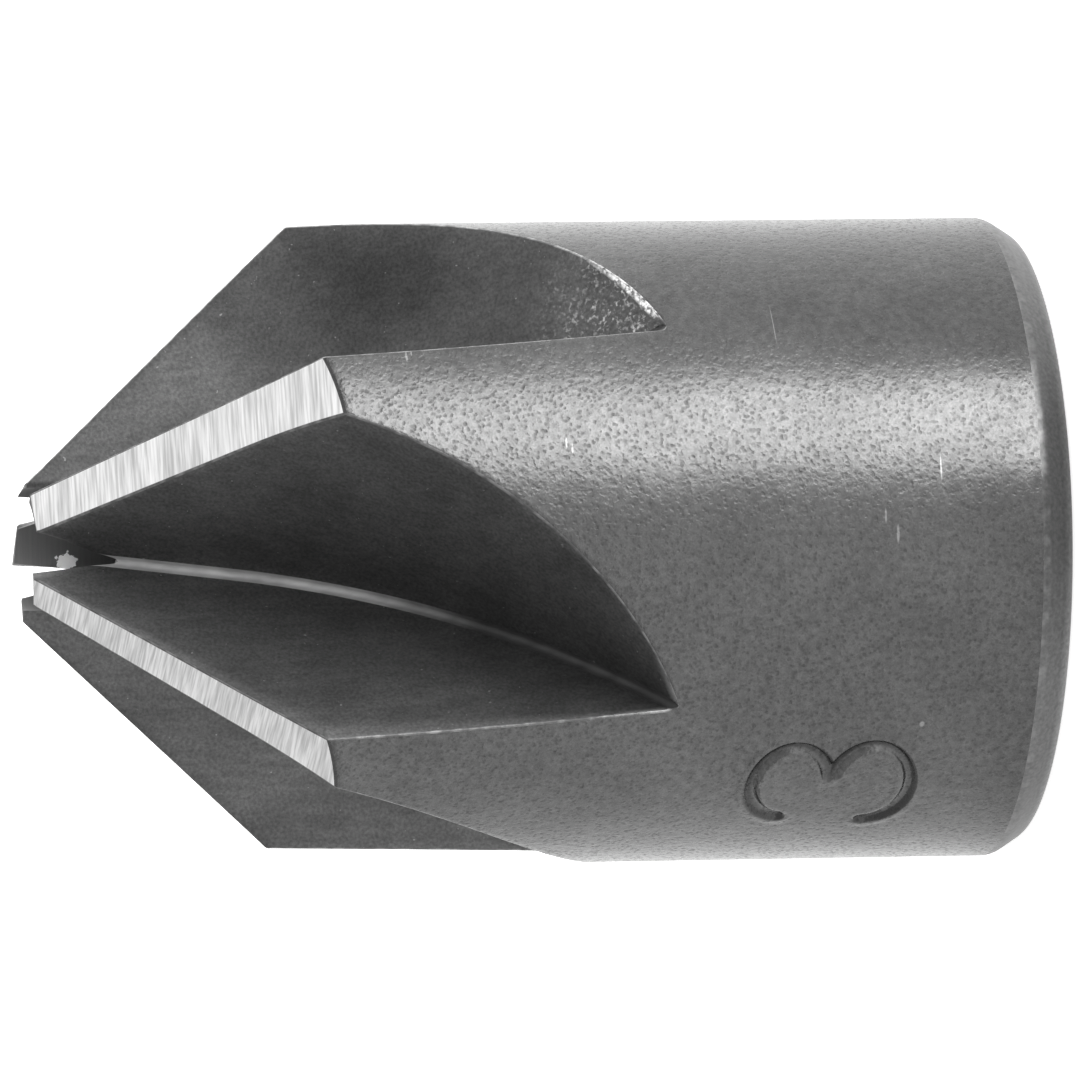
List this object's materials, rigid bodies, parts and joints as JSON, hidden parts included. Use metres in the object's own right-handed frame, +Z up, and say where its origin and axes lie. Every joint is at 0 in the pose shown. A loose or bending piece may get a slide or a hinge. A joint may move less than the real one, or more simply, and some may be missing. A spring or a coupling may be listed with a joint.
{
  "type": "countersink bit",
  "caption": "Push-on countersink for a 3 mm twist drill: a bored cylindrical steel body with fluted cutting teeth ground to a cone, clamped by a radial grub screw.",
  "frame": {"origin": "centre of the flat back face, on the bore's axis", "axes": "+Z up along the bore's axis, from the back face towards the cutting tip; +X points to the picture's top edge when the tip points left; -Y points to the picture's viewer"},
  "size_m": [0.016, 0.016, 0.025],
  "materials": {
    "cutter_body": "hardened tool steel, fine speckled grey, bright ground lands",
    "grub_screw": "black oxide steel"
  },
  "bodies": {
    "cutter_body": {"cutter_body": "cutter_body"},
    "grub_screw": {"grub_screw": "grub_screw"}
  },
  "joints": [
    {"name": "grub_screw_travel", "type": "slide", "parent": "cutter_body", "child": "grub_screw", "axis": [0.7716, 0.6361, 0], "range_m": [-0.0007, 0.0028]}
  ]
}
